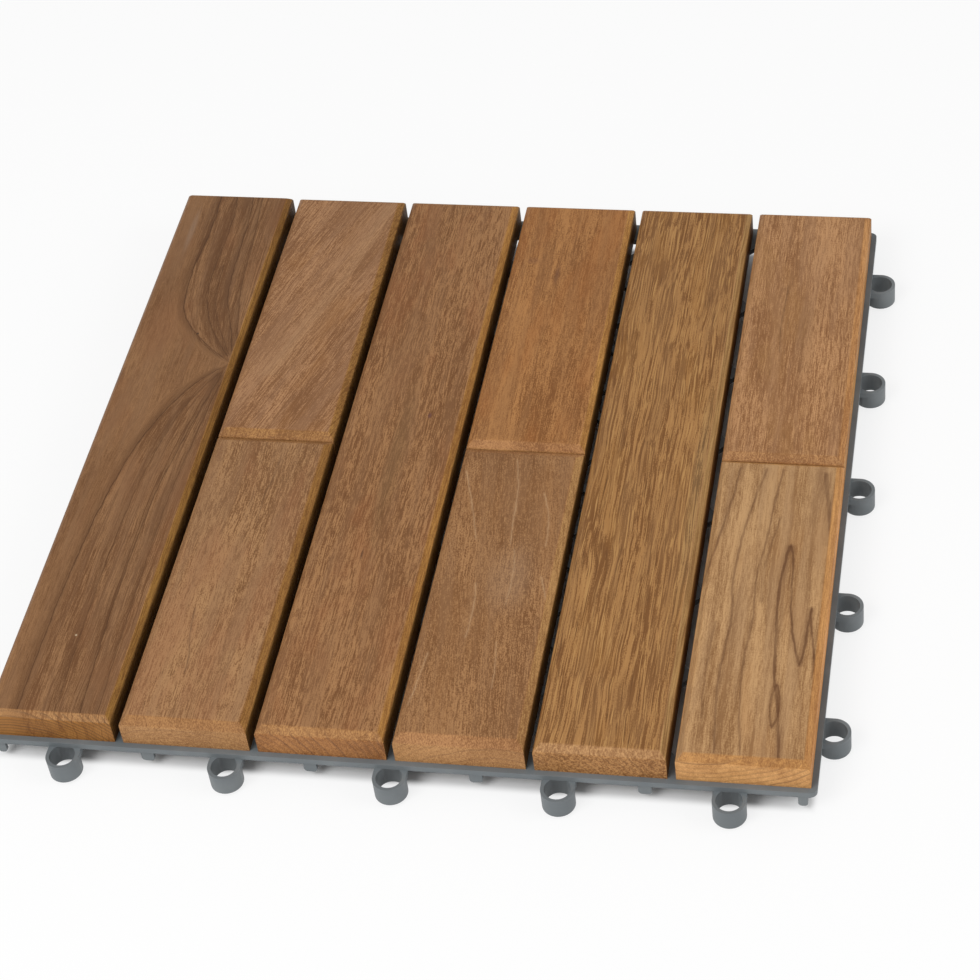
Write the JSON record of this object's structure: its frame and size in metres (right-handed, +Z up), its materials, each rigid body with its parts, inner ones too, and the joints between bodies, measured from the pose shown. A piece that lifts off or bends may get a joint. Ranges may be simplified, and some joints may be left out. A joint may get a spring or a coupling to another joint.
{
  "type": "interlocking deck tile",
  "caption": "Square decking tile: chamfered hardwood slats screwed onto an openwork plastic base, whose edge pegs and loops join it to the tiles beside it.",
  "frame": {"origin": "middle of the base's square in plan, at the level of the ground it stands on", "axes": "+X across the slats towards the right-hand loop side, +Y along the slats towards the back peg side, +Z up out of the slats' walking face"},
  "size_m": [0.3095, 0.3095, 0.024],
  "materials": {
    "umber_wood": "oiled, satin",
    "medium_brown_wood": "oiled, satin",
    "dark_streaked_wood": "oiled, satin",
    "fine_pored_wood": "oiled, satin",
    "grey_brown_wood": "oiled, satin",
    "reddish_wood": "oiled, satin",
    "golden_wood": "oiled, satin",
    "tan_cathedral_wood": "oiled, satin",
    "pink_tan_wood": "oiled, satin",
    "grey_plastic": "matte, moulded",
    "screw_steel": "satin, stainless"
  },
  "bodies": {
    "root": {"base_grid": "grey_plastic", "slat_1": "umber_wood", "slat_2_front": "medium_brown_wood", "slat_2_rear": "dark_streaked_wood", "slat_3": "fine_pored_wood", "slat_4_front": "grey_brown_wood", "slat_4_rear": "reddish_wood", "slat_5": "golden_wood", "slat_6_front": "tan_cathedral_wood", "slat_6_rear": "pink_tan_wood", "slat_screws": "screw_steel"}
  },
  "joints": []
}
